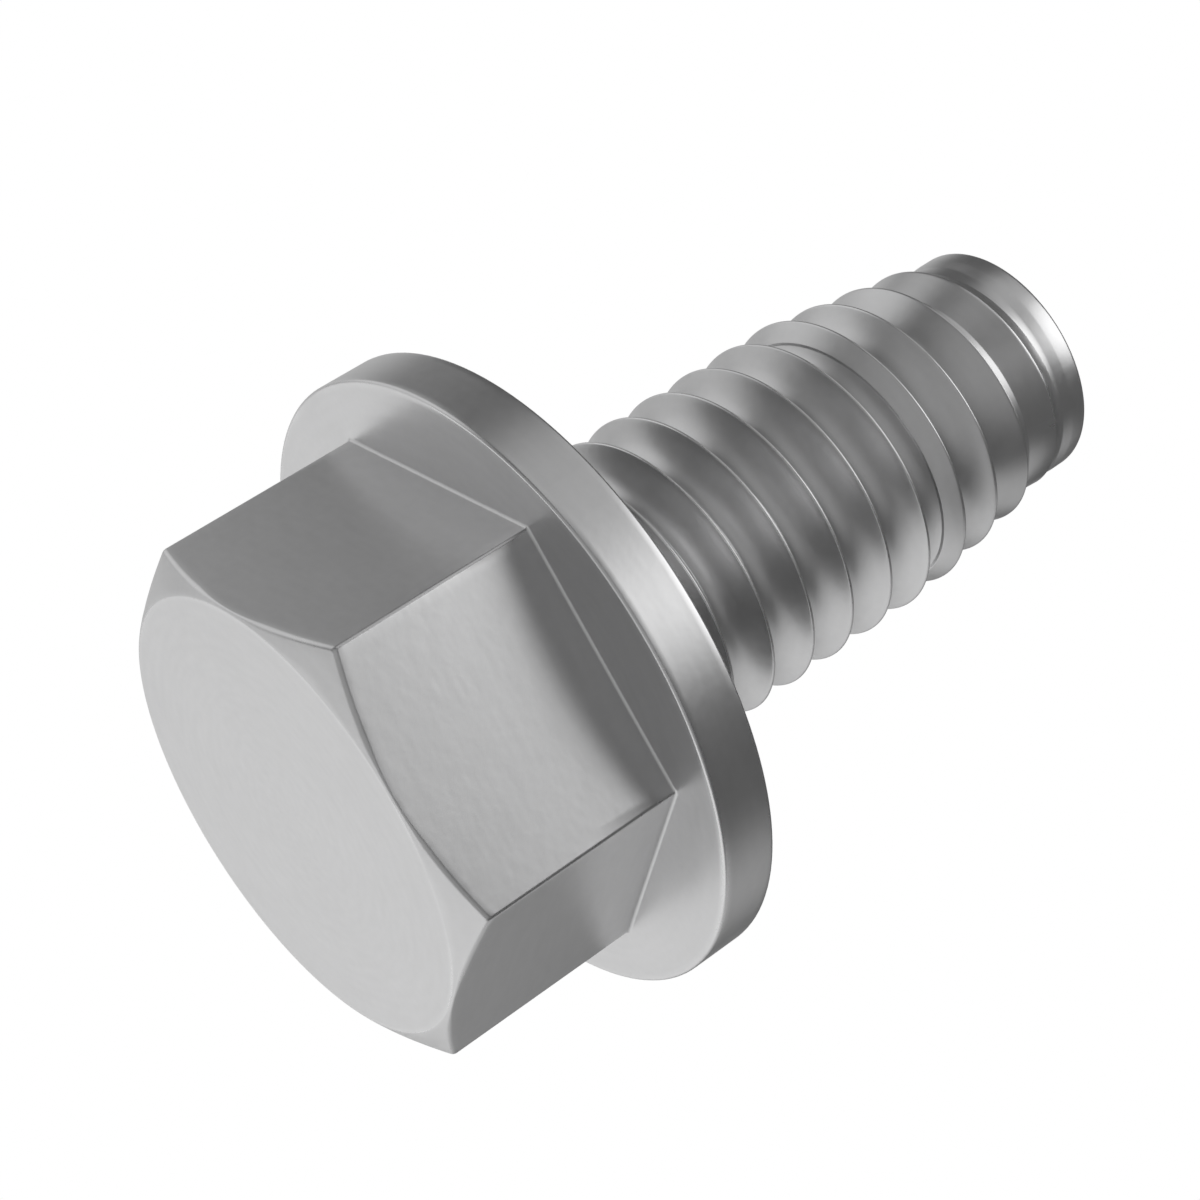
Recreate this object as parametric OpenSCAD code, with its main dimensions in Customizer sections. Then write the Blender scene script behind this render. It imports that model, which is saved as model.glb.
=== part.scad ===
// Hex flange self-tapping screw, standing on its head.
// The flat top of the head lies on z = 0, the axis is Z, and the thread points up.

/* [Head] */
// Width of the hex across its flats
across_flats = 14.14; // [13:0.01:16]
// Height of the whole head, from its flat top to the bearing face
head_h = 9.04; // [6:0.01:12]
// Distance by which the round flat top stops short of the hex's flats
top_inset = 0.09; // [0.03:0.01:0.9]
// Slope of the chamfer that takes off the hex's corners, from the flat top
chamfer_a = 30; // [15:1:40]
// Depth by which the upright corner edges are blunted
corner_break = 0.04; // [0.02:0.01:0.3]
// Height of the small sloped foot where the hex meets the flange
hex_foot = 0.12; // [0.06:0.01:0.4]

/* [Flange] */
// Diameter of the flange
flange_d = 19.7; // [19.2:0.1:24]
// Thickness of the flange
flange_t = 1.8; // [1.2:0.05:3]
// Rounding of the flange's two rim edges
rim_r = 0.1; // [0.05:0.05:0.4]
// Fillet between the bearing face and the neck
neck_fillet = 0.65; // [0.3:0.05:1]

/* [Thread] */
// Outside diameter of the thread
major_d = 9.47; // [8.6:0.01:10.2]
// Distance from one turn to the next
pitch = 1.5875; // [1.25:0.0125:2]
// Angle of each flank of the thread, from square to the axis
flank_a = 30; // [27:0.5:35]
// Height above the bearing face at which a crest crosses the +X side
first_turn = 1.91; // [1:0.01:3]
// Height over which the thread rises out of the neck
run_in = 1.3; // [0.6:0.05:2.4]
// Height over which the last turn sinks into the groove behind the stub
run_out = 0.4; // [0.3:0.05:1.6]

/* [Shank] */
// Length of the screw under its head
shank_l = 19.05; // [14:0.05:30]
// Length of the plain neck, from its fillet to the foot of the thread
neck_l = 0.75; // [0.4:0.05:3]
// Length of the lead, where the thread tapers down to the point
lead_l = 6.75; // [4:0.05:9]
// Slope of the crests along the lead
lead_a = 8; // [3:0.5:9]

/* [Point] */
// Diameter of the plain stub at the point
stub_d = 7.58; // [6:0.01:7.7]
// Length of the plain stub
stub_l = 0.77; // [0.5:0.01:2]
// Length of the plain groove between the last turn and the stub
groove_l = 0.42; // [0.4:0.01:1]
// Depth of that groove below the stub, and of the thread's foot below the neck
groove_depth = 0.055; // [0.04:0.005:0.15]
// Rounding of the stub's end
stub_r = 0.15; // [0.05:0.05:0.4]

/* [Hidden] */

// Smoothness of the turned faces
$fn = 96;
// Columns of the thread in one turn, and steps in a rounded edge
columns = 48;
edge_steps = 3;
fillet_steps = 6;
// Stretch of the turned neck past its fillet, which covers the thread's plain foot
collar_l = 0.1;

flat_r = across_flats / 2;
corner_r = flat_r / cos(30);
top_r = flat_r - top_inset;
flange_r = flange_d / 2;

// A sharp thread of this pitch is cut off by 1/8 of its height at the crest and 1/6 at the root
sharp_h = pitch / 2 / tan(flank_a);
thread_h = sharp_h * (1 - 1 / 8 - 1 / 6);
crest_half = pitch / 16;
major_r = major_d / 2;
minor_r = major_r - thread_h;
// Rolling moves metal from root to crest, so the neck keeps the mean of the two radii
neck_r = (major_r + minor_r) / 2;
foot_r = neck_r - groove_depth;
stub_start = shank_l - stub_l;
groove_r = stub_d / 2 - groove_depth;
thread_start = neck_fillet + neck_l;
thread_end = stub_start - groove_l;
// The root is rounded: its two feet lie this share of the thread's height above it
foot_share = 0.1;
// Least height of a crest over its root, so that the profile never folds
least_h = thread_h / 25;

// Points of an arc of radius r about [x, y], from angle a to angle b
function arc(x, y, r, a, b, steps) =
    [for (s = [0:steps]) [x + r * cos(a + (b - a) * s / steps), y + r * sin(a + (b - a) * s / steps)]];

// Rises from 0 at a to 1 at b
function ramp(v, a, b) = min(1, max(0, (v - a) / (b - a)));

// Height of the thread over its root at height z above the bearing face
function height_at(z) =
    max(least_h, min(thread_h, thread_h - (z - (shank_l - lead_l)) * tan(lead_a)));

// Radius at height z of a point that stands y over the root
function radius_at(z, y) =
    let (opening = ramp(z, thread_start, thread_start + run_in),
         closing = ramp(z, thread_end, thread_end - run_out),
         rolled = foot_r + opening * (minor_r + y - foot_r))
    groove_r + closing * (rolled - groove_r);

// The rows of one turn, as [offset along the axis, share of the height], about the crest's middle
function turn_rows(h) =
    let (edge = crest_half + (thread_h - h) * tan(flank_a),
         foot = crest_half + (thread_h - foot_share * h) * tan(flank_a))
    [[-pitch / 2, 0], [-foot, foot_share], [-edge, 1], [0, 1], [edge, 1], [foot, foot_share]];

// Hexagon with a turned chamfer and blunted corner edges
module hex_head() {
    hex_h = head_h - flange_t;
    blunt_r = corner_r - corner_break;
    chamfer_h = (blunt_r - top_r) * tan(chamfer_a);
    intersection() {
        cylinder(h = hex_h + flange_t / 2, r = corner_r, $fn = 6);
        rotate_extrude()
            polygon([[0, 0], [top_r, 0], [blunt_r, chamfer_h],
                     [blunt_r, hex_h + flange_t / 2], [0, hex_h + flange_t / 2]]);
    }
    translate([0, 0, hex_h - hex_foot])
        cylinder(h = 2 * hex_foot, r1 = corner_r - hex_foot / 4, r2 = corner_r + 7 / 4 * hex_foot, $fn = 6);
}

// Flange with its bearing face, the fillet under it and the plain neck
module flange_and_neck() {
    top_z = head_h - flange_t;
    neck_end = head_h + neck_fillet + collar_l;
    rotate_extrude()
        polygon(concat(
            [[0, top_z]],
            arc(flange_r - rim_r, top_z + rim_r, rim_r, -90, 0, edge_steps),
            arc(flange_r - rim_r, head_h - rim_r, rim_r, 0, 90, edge_steps),
            arc(neck_r + neck_fillet, head_h + neck_fillet, neck_fillet, 270, 180, fillet_steps),
            [[neck_r, neck_end], [0, neck_end]]));
}

// Rolled thread with its tapered lead: one skin of rows that climb one pitch a turn.
// Its plain ends lie inside the neck and the stub, and rows beyond an end lie on that end's rim.
module thread() {
    low = neck_fillet / 2;
    high = stub_start + stub_l / 2;
    first_k = floor((low - first_turn) / pitch) - 2;
    last_k = ceil((high - first_turn) / pitch) + 1;
    per_turn = len(turn_rows(thread_h));
    rows = (last_k - first_k + 1) * per_turn;
    points = [
        for (k = [first_k:last_k], j = [0:per_turn - 1], i = [0:columns - 1])
            let (middle = first_turn + pitch * (k + i / columns),
                 row = turn_rows(height_at(middle))[j],
                 z = min(high, max(low, middle + row[0])),
                 r = radius_at(z, row[1] * height_at(middle + row[0])),
                 a = 360 * i / columns)
            [r * cos(a), r * sin(a), z]
    ];
    // Column after the last one is the first column, one turn further up
    function at(q, i) =
        i < columns ? q * columns + i : min(q + per_turn, rows - 1) * columns;
    skin = [
        for (q = [0:rows - 2], i = [0:columns - 1])
            each [[at(q, i), at(q + 1, i), at(q + 1, i + 1)],
                  [at(q, i), at(q + 1, i + 1), at(q, i + 1)]]
    ];
    floor_rim = [for (i = [0:columns - 1]) at(0, i)];
    roof_rim = [for (i = [columns - 1:-1:0]) at(rows - 1, i)];
    translate([0, 0, head_h])
        polyhedron(points, concat(skin, [floor_rim, roof_rim]));
}

// Plain stub that guides the screw into its hole
module stub() {
    start = head_h + stub_start;
    end = head_h + shank_l;
    rotate_extrude()
        polygon(concat(
            [[0, start], [stub_d / 2, start]],
            arc(stub_d / 2 - stub_r, end - stub_r, stub_r, 0, 90, edge_steps),
            [[0, end]]));
}

module flange_screw() {
    color("silver")
        union() {
            hex_head();
            flange_and_neck();
            thread();
            stub();
        }
}

flange_screw();
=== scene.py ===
import math
import bmesh
import bpy
from mathutils import Matrix, Vector


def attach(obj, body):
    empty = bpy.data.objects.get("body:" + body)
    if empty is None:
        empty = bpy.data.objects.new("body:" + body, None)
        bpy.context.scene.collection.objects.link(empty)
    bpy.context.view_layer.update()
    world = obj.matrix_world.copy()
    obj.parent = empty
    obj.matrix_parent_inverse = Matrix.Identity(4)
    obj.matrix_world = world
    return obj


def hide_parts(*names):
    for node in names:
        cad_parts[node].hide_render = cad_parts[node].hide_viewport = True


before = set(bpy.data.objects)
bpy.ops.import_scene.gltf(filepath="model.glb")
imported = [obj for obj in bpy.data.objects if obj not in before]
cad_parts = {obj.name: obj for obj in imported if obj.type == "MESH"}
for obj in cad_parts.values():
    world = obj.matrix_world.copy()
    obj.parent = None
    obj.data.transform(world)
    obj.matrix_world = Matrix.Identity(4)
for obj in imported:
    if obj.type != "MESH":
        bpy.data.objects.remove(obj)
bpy.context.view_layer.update()        # one node, flange_screw, riding on the one body, root


def makeActive(piece):
    bpy.ops.object.select_all(action="DESELECT")
    piece.select_set(True)
    bpy.context.view_layer.objects.active = piece


def arc(x, y, radius, start, end, steps):      # angles in degrees
    angles = [math.radians(start + (end - start) * s / steps) for s in range(steps + 1)]
    return [(x + radius * math.cos(a), y + radius * math.sin(a)) for a in angles]


def softCorner(before, corner, after, steps):
    points = []
    for s in range(steps + 1):
        t = s / steps
        points.append(tuple((1 - t) ** 2 * b + 2 * t * (1 - t) * c + t ** 2 * a
                            for b, c, a in zip(before, corner, after)))
    return points


def rounded(corners, edges, steps, most=0.85):     # each inner corner becomes a curve
    points = [corners[0]]
    for before, corner, after, edge, count in zip(corners, corners[1:], corners[2:], edges, steps):
        ends = []
        for other, reach in zip((before, after), edge):
            share = min(reach / math.dist(corner, other), most)
            ends.append((lerp(corner[0], other[0], share), lerp(corner[1], other[1], share)))
        points += softCorner(ends[0], corner, ends[1], count)
    points.append(corners[-1])
    return points


def ramp(value, start, end):
    return min(1, max(0, (value - start) / (end - start)))


def lerp(a, b, t):
    return a + (b - a) * t


def selectWhere(piece, rule):                  # picks edges by their middle and their open side
    shape = bmesh.from_edit_mesh(piece.data)
    shape.select_mode = {"EDGE"}
    for edge in shape.edges:
        middle = (edge.verts[0].co + edge.verts[1].co) / 2
        edge.select = rule(edge, middle)
    shape.select_flush_mode()
    bmesh.update_edit_mesh(piece.data)


def placeRing(piece, rule):                    # moves each selected point to its (radius, height)
    shape = bmesh.from_edit_mesh(piece.data)
    for point in shape.verts:
        if point.select:
            angle = math.atan2(point.co.y, point.co.x)
            radius, height = rule(math.degrees(angle))
            point.co = (radius * math.cos(angle), radius * math.sin(angle), height)
    bmesh.update_edit_mesh(piece.data)


# The screw stands on its head: flat top on z = 0, thread pointing up.
# It is modelled with one unit to a millimetre, and brought down to metres at the end.
head = {
    "acrossFlats": 14.14,
    "height": 9.04,          # flat top to bearing face
    "topInset": 0.09,        # the round top stops this far short of the flats
    "chamferSlope": 30,      # degrees, from the flat top
    "cornerRound": 0.15,     # radius of the six upright edges
    "cornerSteps": 4,
    "flatSteps": 26,
    "chamferRings": (0.25, 0.55),   # places of the rings on the chamfer, in shares of its width
    "chamferEdge": 0.12,     # widest softening where the chamfer meets a flat
    "chamferMost": 0.4,      # share of the chamfer's width that the softening may take
    "wallRing": 0.6,         # place of the ring on the flats
    "topEdge": 0.03,         # softening round the flat top
    "topSteps": 2,
    "junction": 0.1,         # fillet between hex and flange
    "edgeSteps": 4,
    "hold": 0.16,            # distance from an edge at which a ring stops its wear from spreading
}
flange = {
    "diameter": 19.7,
    "thickness": 1.8,
    "rimRound": 0.1,
    "neckFillet": 0.65,
    "filletSteps": 10,
}
shank = {
    "collar": 0.1,           # stretch of the full neck past its fillet
    "neckLength": 0.75,      # from the fillet to the foot of the thread
    "length": 19.05,
    "grooveDepth": 0.055,    # thread's foot below the neck, groove below the stub
    "grooveLength": 0.42,
    "skinGap": 0.02,         # left for the bridge between the neck and the thread's skin
    "skinPast": 0.1,         # stretch of the skin that runs into the groove
    "stubDiameter": 7.58,
    "stubLength": 0.77,
    "stubRound": 0.15,
    "stubSteps": 6,
    "flareLow": ((0, -0.24), (0.006, -0.18)),     # from the groove's radius and the stub's start
    "flareHigh": ((-0.004, 0.13), (0, 0.2)),      # from the stub's radius and its start
}
thread = {
    "majorDiameter": 9.47,
    "pitch": 1.5875,
    "flankAngle": 30,
    "crestCut": 1 / 8,       # shares of a sharp thread's height that are missing at the crest
    "rootCut": 1 / 6,        # and at the root
    "firstTurn": 1.91,       # height over the bearing face where a crest crosses the +X side
    "turnsBelow": 2,         # turns that the skin starts below it
    "runIn": 1.3,
    "runOut": 0.4,
    "leadLength": 6.75,
    "leadSlope": 8,
    "lowestCrest": 25,       # a crest is never lower than a full one divided by this
    "reachFrom": 14,         # from here on the flanks facing the head lean further over
    "reachGrowth": 0.2,      # by this much for each millimetre towards the tip
    "reachMost": 1.05,
    "lastLean": (16.5, 17.2, 2),   # over this stretch the flank facing the tip leans to this slope
    "crestHalf": 0.03,
    "headEdge": (0.05, 0.028),     # how far each softened corner reaches before and after it
    "tipEdge": (0.012, 0.012),
    "rootEdge": (0.02, 0.02),
    "rootFlat": (0.03, 0.02),      # flat past the tip side's foot, and up to the next turn's foot
    "leastFlat": 0.005,
    "footShare": 0.14,       # of the height: from here the hollow flank curves up out of the root
    "footEdge": (0.42, 0.8),
    "lastFoot": (15.9, 16.9, 0.003, 0.02),   # over this stretch the hollow shrinks to this height
                                             # and edge, which leaves a flat root
    "roundSteps": 5,
    "turns": 13,
    "turnSteps": 180,
    "weldGap": 0.0005,
}


# Sizes that follow from the ones above
flatRadius = head["acrossFlats"] / 2
topRadius = flatRadius - head["topInset"]
flangeRadius = flange["diameter"] / 2
flangeTop = head["height"] - flange["thickness"]
majorRadius = thread["majorDiameter"] / 2
flankTan = math.tan(math.radians(thread["flankAngle"]))
threadHeight = thread["pitch"] / 2 / flankTan * (1 - thread["crestCut"] - thread["rootCut"])
minorRadius = majorRadius - threadHeight
neckRadius = (majorRadius + minorRadius) / 2
footRadius = neckRadius - shank["grooveDepth"]
stubRadius = shank["stubDiameter"] / 2
grooveRadius = stubRadius - shank["grooveDepth"]
stubStart = shank["length"] - shank["stubLength"]
leadStart = shank["length"] - thread["leadLength"]
threadStart = flange["neckFillet"] + shank["neckLength"]
threadEnd = stubStart - shank["grooveLength"]
collarEnd = flange["neckFillet"] + shank["collar"]
neckEnd = collarEnd + shank["grooveDepth"]            # where the collar has come down to the foot
skinStart = neckEnd + shank["skinGap"]                # where the thread's skin is cut off, head end
skinEnd = threadEnd + shank["skinPast"]               # and at the tip


def hexRadius(grow, angle):                    # rounded hexagon, grown outwards, a corner on +X
    inner = flatRadius + grow
    corner = head["cornerRound"] + grow
    tan30, cos30 = math.tan(math.pi / 6), math.cos(math.pi / 6)
    fromFlat = abs(angle % 60 - 30)
    fromCorner = math.radians(30 - fromFlat)
    if fromFlat <= math.degrees(math.atan((inner - corner) * tan30 / inner)):
        return inner / math.cos(math.radians(fromFlat))
    centre = (inner - corner) / cos30
    across = centre * math.sin(fromCorner)
    return centre * math.cos(fromCorner) + math.sqrt(corner ** 2 - across ** 2)


def headSection(angle):                        # (radius, height) from the flat top to the neck
    slope = math.radians(head["chamferSlope"])
    wall = hexRadius(0, angle)
    edgeHeight = (wall - topRadius) * math.tan(slope)
    strip = (wall - topRadius) / math.cos(slope)
    soft = min(head["chamferEdge"], head["chamferMost"] * strip)
    small, joint, steps = head["topEdge"], head["junction"], head["edgeSteps"]
    rim, fillet = flange["rimRound"], flange["neckFillet"]
    hold = head["hold"]
    points = [(topRadius - hold, 0)]
    points += softCorner((topRadius - small, 0), (topRadius, 0),
                         (topRadius + small * math.cos(slope), small * math.sin(slope)),
                         head["topSteps"])
    for share in head["chamferRings"]:
        points.append((lerp(topRadius, wall, share), edgeHeight * share))
    points += softCorner((wall - soft * math.cos(slope), edgeHeight - soft * math.sin(slope)),
                         (wall, edgeHeight), (wall, edgeHeight + soft), steps + 2)
    points.append((wall, edgeHeight + soft + hold))
    points.append((wall, lerp(edgeHeight, flangeTop, head["wallRing"])))
    for s in range(steps + 1):
        turn = math.radians(90 * s / steps)
        points.append((hexRadius(joint * (1 - math.cos(turn)), angle),
                       flangeTop - joint * (1 - math.sin(turn))))
    points.append((lerp(points[-1][0], flangeRadius - rim, 0.5), flangeTop))
    points.append((flangeRadius - rim - hold, flangeTop))
    points += arc(flangeRadius - rim, flangeTop + rim, rim, -90, 0, steps)
    points.append((flangeRadius, flangeTop + rim + hold))
    points.append((flangeRadius, head["height"] - rim - hold))
    points += arc(flangeRadius - rim, head["height"] - rim, rim, 0, 90, steps)
    points.append((flangeRadius - rim - hold, head["height"]))
    points.append((lerp(flangeRadius - rim, neckRadius + fillet, 0.5), head["height"]))
    points += arc(neckRadius + fillet, head["height"] + fillet, fillet, 270, 180,
                  flange["filletSteps"])
    points.append((neckRadius, head["height"] + collarEnd))
    points.append((footRadius, head["height"] + neckEnd))
    return points


def makeHead():
    bpy.ops.object.select_all(action="DESELECT")
    bpy.ops.mesh.primitive_circle_add(vertices=6, radius=flatRadius / math.cos(math.pi / 6),
                                      rotation=(0, 0, math.pi / 6))
    piece = bpy.context.object
    piece.name = "flangeHead"
    bpy.ops.object.transform_apply(location=True, rotation=True, scale=True)
    bpy.ops.object.mode_set(mode="EDIT")
    bpy.ops.mesh.select_all(action="SELECT")
    bpy.ops.mesh.bevel(offset=head["cornerRound"] * math.tan(math.pi / 6),
                       segments=head["cornerSteps"], affect="VERTICES")
    selectWhere(piece, lambda edge, middle: edge.calc_length() > head["acrossFlats"] / 4)
    bpy.ops.mesh.subdivide(number_cuts=head["flatSteps"] - 1)
    bpy.ops.mesh.select_all(action="SELECT")
    rings = len(headSection(0))
    placeRing(piece, lambda angle: headSection(angle)[0])
    bpy.ops.mesh.edge_face_add()
    selectWhere(piece, lambda edge, middle: True)
    for ring in range(1, rings):
        bpy.ops.mesh.extrude_edges_move()
        placeRing(piece, lambda angle: headSection(angle)[ring])
    bpy.ops.object.mode_set(mode="OBJECT")
    return piece


# The thread is one turn's outline, swept up a helix by a Screw modifier, then fitted to the lead
# and the run-outs. Heights along it are measured from the bearing face.
def crestHeight(z):
    falling = threadHeight - (z - leadStart) * math.tan(math.radians(thread["leadSlope"]))
    return max(threadHeight / thread["lowestCrest"], min(threadHeight, falling))


def tipReach(middle):                          # from a crest to its foot on the side of the tip
    start, end, lean = thread["lastLean"]
    slope = lerp(flankTan, lean, ramp(middle, start, end))
    return thread["crestHalf"] + crestHeight(middle) * slope


def headReach(middle):                         # and on the side of the head
    full = thread["crestHalf"] + threadHeight * flankTan
    grown = full + thread["reachGrowth"] * max(0, middle - thread["reachFrom"])
    return min(thread["reachMost"], grown)


def rootLine(middle):                          # where one turn's outline ends and the next starts
    past, before = thread["rootFlat"]
    nextFoot = thread["pitch"] - headReach(middle + thread["pitch"])
    return min(tipReach(middle) + past, nextFoot - before)


# The one turn at the start of the lead that has a band along its crest
step = {
    "from": 11.8,
    "to": 13.38,
    "fade": 0.2,
    "reach": 0.76,           # from the crest to the foot of the flank below the band
    "height": 0.44,          # of the band's foot over the root
    "rise": 0.09,            # by which the band stands over the flank
    "run": (0.02, 0.01),     # the rise starts this far past the flank's line, and takes this long
    "lip": (0.006, 0.006),
    "footEdge": (0.38, 0.3),
}


def turnOutline(middle):                       # (offset along the axis, height over the root)
    high, reach, tip = crestHeight(middle), headReach(middle), tipReach(middle)
    half, n = thread["crestHalf"], thread["roundSteps"]
    lean = (reach - half) / high
    start, end, leastFoot, leastEdge = thread["lastFoot"]
    sharp = ramp(middle, start, end)
    foot = lerp(thread["footShare"] * high, leastFoot, sharp)
    footEdge = [lerp(edge, leastEdge, sharp) for edge in thread["footEdge"]]
    first = (rootLine(middle - thread["pitch"]) - thread["pitch"], 0)
    last = (rootLine(middle), 0)
    tipFoot = (min(tip, last[0] - thread["leastFlat"]), 0)
    rest = [(-half, high), (half, high), tipFoot, last]
    restEdges = [thread["headEdge"], thread["tipEdge"], thread["rootEdge"]]
    # Its first curve has as many points as three of the banded outline, so that the two blend
    plain = rounded([first, (-reach + lean * foot, foot)] + rest, [footEdge] + restEdges,
                    [3 * n + 2, n, n, n])
    band = ramp(middle, step["from"], step["from"] + step["fade"])
    band *= ramp(middle, step["to"], step["to"] - step["fade"])
    if not band:
        return plain
    reach, high, rise = step["reach"], step["height"], step["rise"]
    knee = (-reach + flankTan * high + step["run"][0], high - rise / 2)
    past = (knee[0] + step["run"][1], high + rise / 2)
    banded = rounded([first, (-reach + flankTan * foot, foot), knee, past] + rest,
                     [step["footEdge"], step["lip"], step["lip"]] + restEdges, [n] * 6)
    return [(lerp(a[0], b[0], band), lerp(a[1], b[1], band)) for a, b in zip(plain, banded)]


def threadRadius(z, over):
    opening = ramp(z, threadStart, threadStart + thread["runIn"])
    closing = ramp(z, threadEnd, threadEnd - thread["runOut"])
    rolled = footRadius + opening * (minorRadius + over - footRadius)
    return grooveRadius + closing * (rolled - grooveRadius)


def sweepOutline(rows):                        # a string of points climbs all the turns
    bpy.ops.object.select_all(action="DESELECT")
    bpy.ops.mesh.primitive_plane_add(size=1, location=(minorRadius, 0, 0))
    piece = bpy.context.object
    piece.name = "rolledThread"
    bpy.ops.object.transform_apply(location=True, rotation=True, scale=True)
    bpy.ops.object.mode_set(mode="EDIT")
    bpy.ops.mesh.select_all(action="SELECT")
    bpy.ops.mesh.merge(type="CENTER")
    for row in range(1, rows):
        bpy.ops.mesh.extrude_vertices_move(
            TRANSFORM_OT_translate={"value": (0, 0, thread["pitch"] / (rows - 1))})
    bpy.ops.object.mode_set(mode="OBJECT")
    order = sorted(range(rows), key=lambda i: piece.data.vertices[i].co.z)
    climb = piece.modifiers.new("climb", "SCREW")
    climb.axis = "Z"
    climb.angle = 2 * math.pi
    climb.screw_offset = thread["pitch"]
    climb.iterations = thread["turns"]
    climb.steps = climb.render_steps = thread["turnSteps"]
    climb.use_merge_vertices = False
    bpy.ops.object.modifier_apply(modifier="climb")
    return piece, {index: row for row, index in enumerate(order)}


def makeThread():
    firstMiddle = thread["firstTurn"] - thread["turnsBelow"] * thread["pitch"]
    rows = len(turnOutline(firstMiddle))
    piece, rowOf = sweepOutline(rows)
    outlines = {}
    for index, point in enumerate(piece.data.vertices):
        turn, row = index // rows, rowOf[index % rows]
        middle = firstMiddle + thread["pitch"] * turn / thread["turnSteps"]
        if turn not in outlines:
            outlines[turn] = turnOutline(middle)
        offset, over = outlines[turn][row]
        z = middle + offset
        radius = threadRadius(z, over)
        angle = 2 * math.pi * turn / thread["turnSteps"]
        point.co = (radius * math.cos(angle), radius * math.sin(angle), head["height"] + z)
    bpy.ops.object.mode_set(mode="EDIT")
    bpy.ops.mesh.select_all(action="SELECT")
    bpy.ops.mesh.remove_doubles(threshold=thread["weldGap"])
    for cut, side in ((skinStart, -1), (skinEnd, 1)):
        bpy.ops.mesh.select_all(action="SELECT")
        bpy.ops.mesh.bisect(plane_co=(0, 0, head["height"] + cut), plane_no=(0, 0, side),
                            clear_outer=True, threshold=thread["weldGap"])
    # Groove, flare and rounded stub, ring by ring from the thread's upper end
    near = head["height"] + skinEnd - 0.01
    selectWhere(piece, lambda edge, middle: edge.is_boundary and middle.z > near)
    flare, end = head["height"] + stubStart, head["height"] + shank["length"]
    edge = shank["stubRound"]
    section = [(grooveRadius + out, flare + up) for out, up in shank["flareLow"]]
    section += [(stubRadius + out, flare + up) for out, up in shank["flareHigh"]]
    section += arc(stubRadius - edge, end - edge, edge, 0, 90, shank["stubSteps"])
    section.append((stubRadius - edge - head["hold"], end))
    for ring in section:
        bpy.ops.mesh.extrude_edges_move()
        placeRing(piece, lambda angle: ring)
    bpy.ops.mesh.edge_face_add()
    bpy.ops.object.mode_set(mode="OBJECT")
    return piece


finish = {
    "scale": 0.001,          # millimetres to metres
    "smoothAngle": 40,       # degrees
}
screw = makeThread()
print("stage: thread", len(screw.data.vertices), "points")
shell = makeHead()
print("stage: head", len(shell.data.vertices), "points")
makeActive(screw)
shell.select_set(True)
bpy.ops.object.join()
screw.name = screw.data.name = "hexFlangeScrew"
bpy.ops.object.mode_set(mode="EDIT")
selectWhere(screw, lambda edge, middle: edge.is_boundary)
bpy.ops.mesh.bridge_edge_loops()
bpy.ops.mesh.select_all(action="SELECT")
bpy.ops.mesh.normals_make_consistent(inside=False)
shape = bmesh.from_edit_mesh(screw.data)
print("stage: screw joined, open edges", sum(not edge.is_manifold for edge in shape.edges))
bpy.ops.object.mode_set(mode="OBJECT")
bpy.ops.transform.resize(value=(finish["scale"],) * 3, center_override=(0, 0, 0))
bpy.ops.object.transform_apply(location=True, rotation=True, scale=True)
bpy.ops.object.shade_smooth_by_angle(angle=math.radians(finish["smoothAngle"]))
weigh = screw.modifiers.new("weigh", "WEIGHTED_NORMAL")
weigh.keep_sharp = True
bpy.ops.object.modifier_apply(modifier="weigh")
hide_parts("flange_screw")
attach(screw, "root")

# Plated steel: almost even in tone, with a fine forged grain, faint streaks round the axis left by
# turning and rolling, and edges that handling has rubbed brighter and smoother
steel = {
    "colour": (0.58, 0.58, 0.583),
    "cloud": 260,            # texture sizes, in repeats for each metre
    "cloudDetail": 3,
    "cloudTone": 0.04,
    "grain": 3600,
    "grainDetail": 1,
    "grainTone": 0.03,
    "grainBump": 0.0000016,  # metres
    "streak": 4500,
    "streakLength": 5,       # repeats round the screw
    "streakTone": 0.03,
    "streakBump": 0.000001,
    "axisGap": 0.0001,       # metres from the axis within which the streaks stop turning
    "roughness": 0.33,
    "roughSpread": 0.05,
    "wearAngle": 14,         # degrees between neighbouring faces at which an edge is fully worn
    "wearLevel": 0.8,
    "wearPatches": 2.5,      # how much the clouds break the wear up
    "wearTone": 0.1,
    "wearRoughness": 0.07,
}


def markWear(piece):                           # 1 on convex edges, 0 on plain and hollow faces
    shape = bmesh.new()
    shape.from_mesh(piece.data)
    worn = [0.0] * len(shape.verts)
    for edge in shape.edges:
        bend = math.degrees(edge.calc_face_angle_signed(0))
        for point in edge.verts:
            share = min(1, max(0, bend) / steel["wearAngle"])
            worn[point.index] = max(worn[point.index], share)
    shape.free()
    piece.data.attributes.new("wear", "FLOAT", "POINT").data.foreach_set("value", worn)


def addNode(tree, kind, **settings):
    node = tree.nodes.new(kind)
    for key, value in settings.items():
        setattr(node, key, value)
    return node


def addMath(tree, operation, *values):         # each value is a number or another node's output
    node = addNode(tree, "ShaderNodeMath", operation=operation)
    for socket, value in zip(node.inputs, values):
        if isinstance(value, (int, float)):
            socket.default_value = value
        else:
            tree.links.new(value, socket)
    return node.outputs[0]


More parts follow.
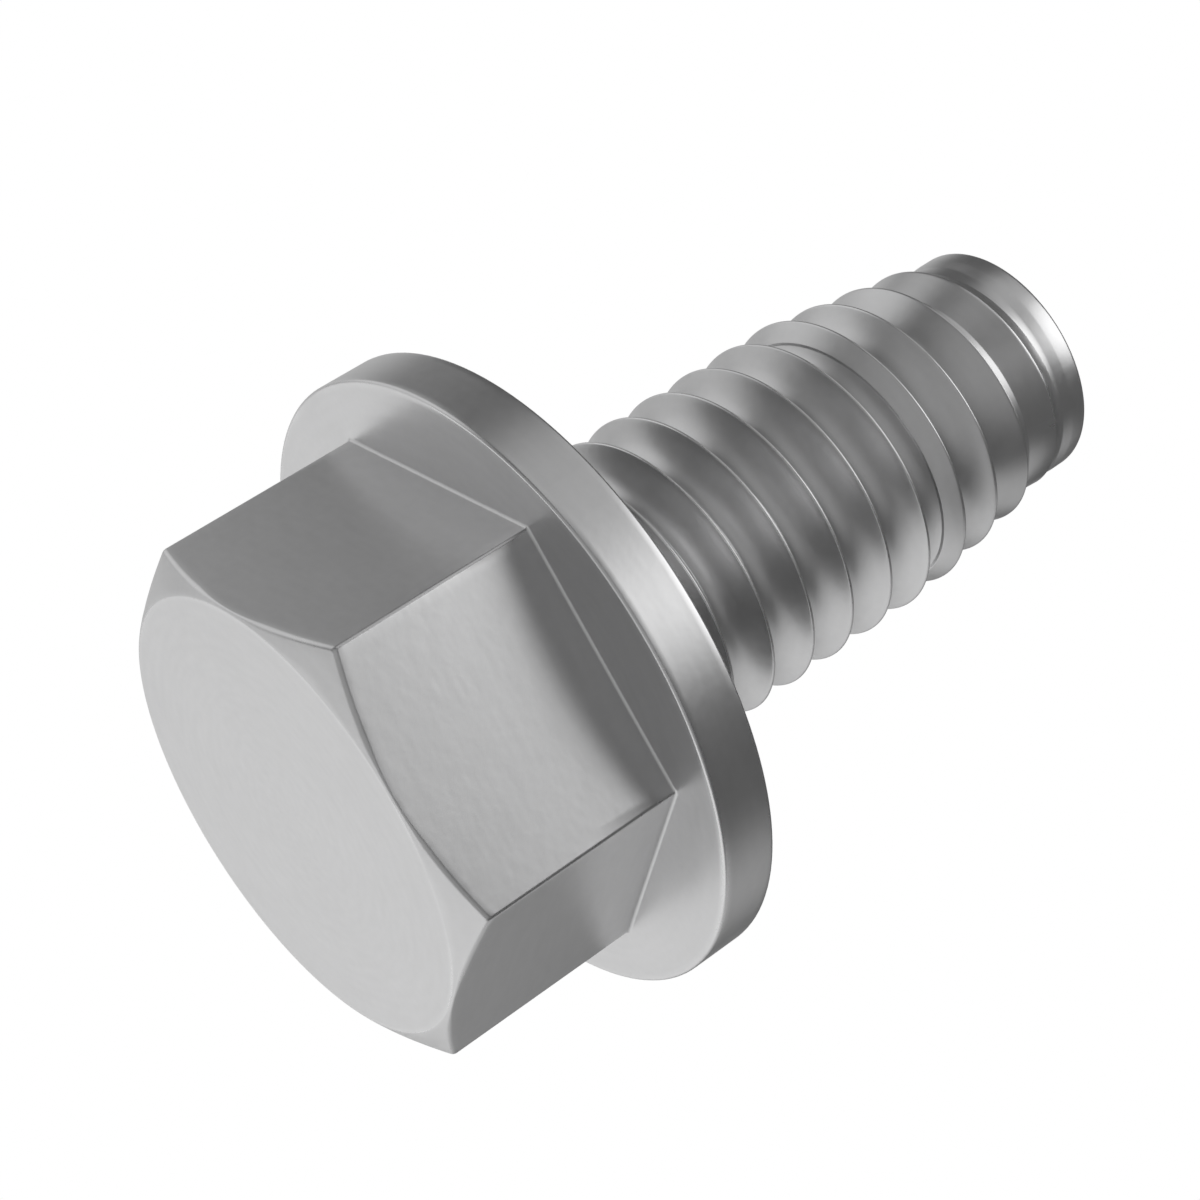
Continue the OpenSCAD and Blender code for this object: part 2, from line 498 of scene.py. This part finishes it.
def makeSteel():
    material = bpy.data.materials.new("brightSteel")
    material.use_nodes = True
    tree = material.node_tree
    shader = tree.nodes["Principled BSDF"]
    shader.inputs["Metallic"].default_value = 1
    place = addNode(tree, "ShaderNodeTexCoord").outputs["Object"]

    def add(a, b):
        return addMath(tree, "ADD", a, b)

    def multiply(a, b):
        return addMath(tree, "MULTIPLY", a, b)

    def noise(scale, detail, vector=place):
        node = addNode(tree, "ShaderNodeTexNoise")
        node.inputs["Scale"].default_value = scale
        node.inputs["Detail"].default_value = detail
        tree.links.new(vector, node.inputs["Vector"])
        return node

    def centred(node):                         # about 0 in place of 0.5
        return addMath(tree, "SUBTRACT", node.outputs["Fac"], 0.5)

    cloud = centred(noise(steel["cloud"], steel["cloudDetail"]))
    grain = centred(noise(steel["grain"], steel["grainDetail"]))
    # The streaks run round the axis: a noise of distance from the axis, height and direction,
    # with no seam
    parts = addNode(tree, "ShaderNodeSeparateXYZ")
    tree.links.new(place, parts.inputs[0])
    x, y, z = parts.outputs
    distance = addMath(tree, "SQRT", add(multiply(x, x), multiply(y, y)))
    radius = addMath(tree, "MAXIMUM", distance, steel["axisGap"])
    around = addNode(tree, "ShaderNodeCombineXYZ")
    tree.links.new(multiply(radius, steel["streak"]), around.inputs[0])
    tree.links.new(multiply(z, steel["streak"]), around.inputs[1])
    tree.links.new(multiply(addMath(tree, "DIVIDE", x, radius), steel["streakLength"]),
                   around.inputs[2])
    turned = noise(1, 0, around.outputs[0])
    turned.noise_dimensions = "4D"
    tree.links.new(multiply(addMath(tree, "DIVIDE", y, radius), steel["streakLength"]),
                   turned.inputs["W"])
    streak = centred(turned)

    wear = addNode(tree, "ShaderNodeAttribute", attribute_name="wear").outputs["Fac"]
    rubbed = multiply(wear, add(multiply(cloud, steel["wearPatches"]), steel["wearLevel"]))

    tone = add(1, multiply(cloud, 2 * steel["cloudTone"]))
    tone = add(tone, multiply(grain, 2 * steel["grainTone"]))
    tone = add(tone, multiply(streak, 2 * steel["streakTone"]))
    tone = add(tone, multiply(rubbed, steel["wearTone"]))
    tinted = addNode(tree, "ShaderNodeVectorMath", operation="SCALE")
    tinted.inputs[0].default_value = steel["colour"]
    tree.links.new(tone, tinted.inputs["Scale"])
    tree.links.new(tinted.outputs["Vector"], shader.inputs["Base Color"])

    rough = add(steel["roughness"], multiply(cloud, steel["roughSpread"]))
    rough = add(rough, multiply(grain, steel["roughSpread"]))
    rough = addMath(tree, "SUBTRACT", rough, multiply(rubbed, steel["wearRoughness"]))
    tree.links.new(rough, shader.inputs["Roughness"])

    height = add(multiply(grain, steel["grainBump"]), multiply(streak, steel["streakBump"]))
    bump = addNode(tree, "ShaderNodeBump")
    bump.inputs["Distance"].default_value = 1
    tree.links.new(height, bump.inputs["Height"])
    tree.links.new(bump.outputs["Normal"], shader.inputs["Normal"])
    return material


markWear(screw)
screw.data.materials.clear()
screw.data.materials.append(makeSteel())
print("stage: steel")

# Studio: a pale floor, a white room, and grey flags round the screw with soft boxes between them,
# which only its reflections see. Angles are in degrees: azimuth from +X, elevation, and how far
# the soft edge reaches.
studio = {
    "floorSize": 4,
    "floorGap": 0.0001,
    "floorColour": 0.8,
    "floorRoughness": 0.9,
    "worldLevel": 0.9,       # what the floor is lit by
    "domeRadius": 1.5,
    "flagGrey": 0.13,
    "innerShare": 0.3,       # of a soft box's reach that is fully bright
    "softBoxes": (
        (268, 46, 31, 1.9),      # key, over the camera's side
        (217, 31, 31, 0.48),     # its spill to the left
        (156, -11, 42, 0.72),    # left fill
        (18, 7, 35, 0.42),       # right fill
        (265, -45, 65, 0.3),     # front, from below
        (99, 17, 42, 0.5),       # behind the screw
    ),
    "opening": (66, -48, 68),    # where the white room shows between the flags
    "keyAim": (0, 0, 0.0117),
    "keyDistance": 0.5,
    "keySize": 0.35,
    "keyPower": 0.25,
}


def direction(azimuth, elevation):
    a, e = math.radians(azimuth), math.radians(elevation)
    return Vector((math.cos(e) * math.cos(a), math.cos(e) * math.sin(a), math.sin(e)))


def makeFloor():
    bpy.ops.object.select_all(action="DESELECT")
    bpy.ops.mesh.primitive_plane_add(size=studio["floorSize"], location=(0, 0, -studio["floorGap"]))
    floor = bpy.context.object
    floor.name = "floor"
    bpy.ops.object.transform_apply(location=True, rotation=True, scale=True)
    material = bpy.data.materials.new("paleFloor")
    material.use_nodes = True
    tree = material.node_tree
    shader = tree.nodes["Principled BSDF"]
    shader.inputs["Base Color"].default_value = (studio["floorColour"],) * 3 + (1,)
    shader.inputs["Roughness"].default_value = studio["floorRoughness"]
    # Only the camera sees it, and only from above
    path = addNode(tree, "ShaderNodeLightPath")
    side = addNode(tree, "ShaderNodeNewGeometry")
    front = addMath(tree, "SUBTRACT", 1, side.outputs["Backfacing"])
    seen = addMath(tree, "MULTIPLY", path.outputs["Is Camera Ray"], front)
    clear = addNode(tree, "ShaderNodeBsdfTransparent")
    mix = addNode(tree, "ShaderNodeMixShader")
    tree.links.new(seen, mix.inputs["Fac"])
    tree.links.new(clear.outputs[0], mix.inputs[1])
    tree.links.new(shader.outputs[0], mix.inputs[2])
    tree.links.new(mix.outputs[0], tree.nodes["Material Output"].inputs["Surface"])
    floor.data.materials.append(material)


def makeWorld():
    world = bpy.data.worlds.new("studio")
    bpy.context.scene.world = world
    world.use_nodes = True
    tree = world.node_tree
    ground = tree.nodes["Background"]
    ground.inputs["Color"].default_value = (1, 1, 1, 1)
    path = addNode(tree, "ShaderNodeLightPath")
    mirrored = addMath(tree, "MAXIMUM", path.outputs["Is Glossy Ray"],
                       path.outputs["Is Transmission Ray"])
    seen = addMath(tree, "MAXIMUM", path.outputs["Is Camera Ray"], mirrored)
    level = addNode(tree, "ShaderNodeMapRange")
    level.inputs["To Min"].default_value = studio["worldLevel"]
    level.inputs["To Max"].default_value = 1
    tree.links.new(seen, level.inputs["Value"])
    tree.links.new(level.outputs["Result"], ground.inputs["Strength"])


def makeDome():
    bpy.ops.object.select_all(action="DESELECT")
    bpy.ops.mesh.primitive_ico_sphere_add(subdivisions=5, radius=studio["domeRadius"])
    dome = bpy.context.object
    dome.name = "greyFlags"
    material = bpy.data.materials.new("greyFlags")
    material.use_nodes = True
    tree = material.node_tree
    tree.nodes.remove(tree.nodes["Principled BSDF"])
    place = addNode(tree, "ShaderNodeTexCoord")
    unit = addNode(tree, "ShaderNodeVectorMath", operation="NORMALIZE")
    tree.links.new(place.outputs["Object"], unit.inputs[0])

    def patch(azimuth, elevation, reach, strength):
        toward = addNode(tree, "ShaderNodeVectorMath", operation="DOT_PRODUCT")
        toward.inputs[1].default_value = direction(azimuth, elevation)
        inner = reach * studio["innerShare"]
        fade = addNode(tree, "ShaderNodeMapRange", interpolation_type="SMOOTHSTEP")
        fade.inputs["From Min"].default_value = math.cos(math.radians(reach))
        fade.inputs["From Max"].default_value = math.cos(math.radians(inner))
        fade.inputs["To Max"].default_value = strength
        tree.links.new(unit.outputs["Vector"], toward.inputs[0])
        tree.links.new(toward.outputs["Value"], fade.inputs["Value"])
        return fade.outputs["Result"]

    level = studio["flagGrey"]
    for softBox in studio["softBoxes"]:
        level = addMath(tree, "ADD", level, patch(*softBox))
    glow = addNode(tree, "ShaderNodeEmission")
    tree.links.new(level, glow.inputs["Strength"])
    clear = addNode(tree, "ShaderNodeBsdfTransparent")
    mix = addNode(tree, "ShaderNodeMixShader")
    tree.links.new(patch(*studio["opening"], 1), mix.inputs["Fac"])
    tree.links.new(glow.outputs[0], mix.inputs[1])
    tree.links.new(clear.outputs[0], mix.inputs[2])
    tree.links.new(mix.outputs[0], tree.nodes["Material Output"].inputs["Surface"])
    material.cycles.emission_sampling = "NONE"
    dome.data.materials.append(material)
    dome.visible_camera = dome.visible_diffuse = dome.visible_shadow = False
    dome.visible_transmission = False


def makeLamp(name, azimuth, elevation):        # it casts the shadow on the floor
    lamp = bpy.data.lights.new(name, "AREA")
    lamp.shape = "DISK"
    lamp.size = studio["keySize"]
    lamp.energy = studio["keyPower"]
    holder = bpy.data.objects.new(name, lamp)
    bpy.context.scene.collection.objects.link(holder)
    toward = direction(azimuth, elevation)
    holder.location = Vector(studio["keyAim"]) + toward * studio["keyDistance"]
    holder.rotation_euler = toward.to_track_quat("Z", "Y").to_euler()
    holder.visible_camera = holder.visible_glossy = False


makeFloor()
makeWorld()
makeDome()
makeLamp("key", *studio["softBoxes"][0][:2])
print("stage: studio")

# Camera, fitted to the photograph's hex corners, rims and crests
view = {
    "place": (-0.012054, -0.084072, -0.031485),
    "forward": (0.12199, 0.88290, 0.45344),
    "roll": -57.232,         # degrees
    "lens": 97.755,
    "sensor": 36,
    "clip": (0.005, 10),
}


def makeCamera():
    camera = bpy.data.cameras.new("camera")
    camera.lens = view["lens"]
    camera.sensor_width = camera.sensor_height = view["sensor"]
    camera.sensor_fit = "HORIZONTAL"
    camera.clip_start, camera.clip_end = view["clip"]
    holder = bpy.data.objects.new("camera", camera)
    bpy.context.scene.collection.objects.link(holder)
    forward = Vector(view["forward"]).normalized()
    level = forward.cross(Vector((0, 0, 1))).normalized()
    upright = level.cross(forward)
    roll = math.radians(view["roll"])
    up = math.cos(roll) * upright + math.sin(roll) * level
    right = forward.cross(up)
    turn = Matrix((right, up, -forward)).transposed().to_4x4()
    holder.matrix_world = Matrix.Translation(view["place"]) @ turn
    bpy.context.scene.camera = holder


makeCamera()
bpy.context.scene.view_settings.view_transform = "Standard"
